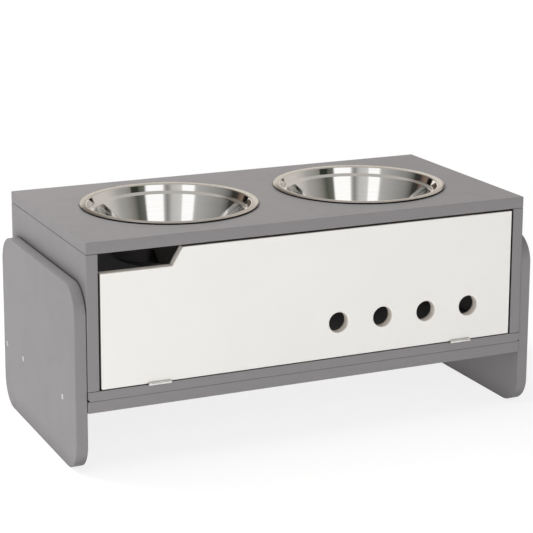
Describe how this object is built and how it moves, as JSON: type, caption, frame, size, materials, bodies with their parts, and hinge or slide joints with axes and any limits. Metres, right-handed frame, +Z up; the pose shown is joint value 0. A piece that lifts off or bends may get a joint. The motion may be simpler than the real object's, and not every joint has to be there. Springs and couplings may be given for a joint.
{
  "type": "elevated dog feeder",
  "caption": "Raised pet feeder: a grey board case on leg panels, lift-out steel bowls set in its top, and a white flip-down storage door with a finger notch and round holes.",
  "frame": {"origin": "middle of the footprint, on the floor that the two legs stand on", "axes": "+X to the right of someone who faces the door, +Y from the door to the back panel, +Z up"},
  "size_m": [0.635, 0.3032, 0.2905],
  "materials": {
    "grey_board": "grey satin paint on board, eased edges",
    "grey_back": "grey painted thin board",
    "white_board": "white satin paint on board, cream cut edges",
    "bowl_steel": "stainless steel, mirror-polished basin, finely turned rim",
    "ring_rubber": "black matt rubber",
    "bright_screw": "bright zinc plate",
    "hinge_nickel": "nickel plate, lightly brushed",
    "cam_metal": "raw die-cast and turned metal",
    "dowel_wood": "bare beech",
    "catch_plastic": "grey moulded plastic",
    "magnet": "sintered ferrite",
    "plate_steel": "plain steel plate, light zinc plate"
  },
  "bodies": {
    "cabinet": {"top_panel": "grey_board", "left_side_panel": "grey_board", "right_side_panel": "grey_board", "floor_panel": "grey_board", "base_board": "grey_board", "left_leg": "grey_board", "right_leg": "grey_board", "back_panel": "grey_back", "left_bowl_ring": "ring_rubber", "right_bowl_ring": "ring_rubber", "left_leg_screws": "bright_screw", "right_leg_screws": "bright_screw", "left_side_screws": "bright_screw", "right_side_screws": "bright_screw", "floor_screws": "bright_screw", "base_screws": "bright_screw", "catch_screws": "bright_screw", "leg_dowels": "dowel_wood", "top_dowels": "dowel_wood", "cam_bolts": "cam_metal", "cam_locks": "cam_metal", "catch_case": "catch_plastic", "catch_magnet": "magnet", "catch_pole_plates": "plate_steel", "left_hinge_frame_leaf": "hinge_nickel", "left_hinge_pin": "hinge_nickel", "left_hinge_frame_screws": "hinge_nickel", "right_hinge_frame_leaf": "hinge_nickel", "right_hinge_pin": "hinge_nickel", "right_hinge_frame_screws": "hinge_nickel"},
    "door": {"door_panel": "white_board", "strike_plate": "plate_steel", "strike_plate_screw": "bright_screw", "left_hinge_door_leaf": "hinge_nickel", "left_hinge_door_screws": "hinge_nickel", "right_hinge_door_leaf": "hinge_nickel", "right_hinge_door_screws": "hinge_nickel"},
    "left_bowl_body": {"left_bowl": "bowl_steel"},
    "right_bowl_body": {"right_bowl": "bowl_steel"}
  },
  "joints": [
    {"name": "door_hinge", "type": "hinge", "parent": "cabinet", "child": "door", "pos_m": [0, -0.1512, 0.1035], "axis": [1, 0, 0], "range_deg": [0, 127]},
    {"name": "left_bowl_lift", "type": "slide", "parent": "cabinet", "child": "left_bowl_body", "axis": [0, 0, 1], "range_m": [0, 0.09]},
    {"name": "right_bowl_lift", "type": "slide", "parent": "cabinet", "child": "right_bowl_body", "axis": [0, 0, 1], "range_m": [0, 0.09]}
  ]
}
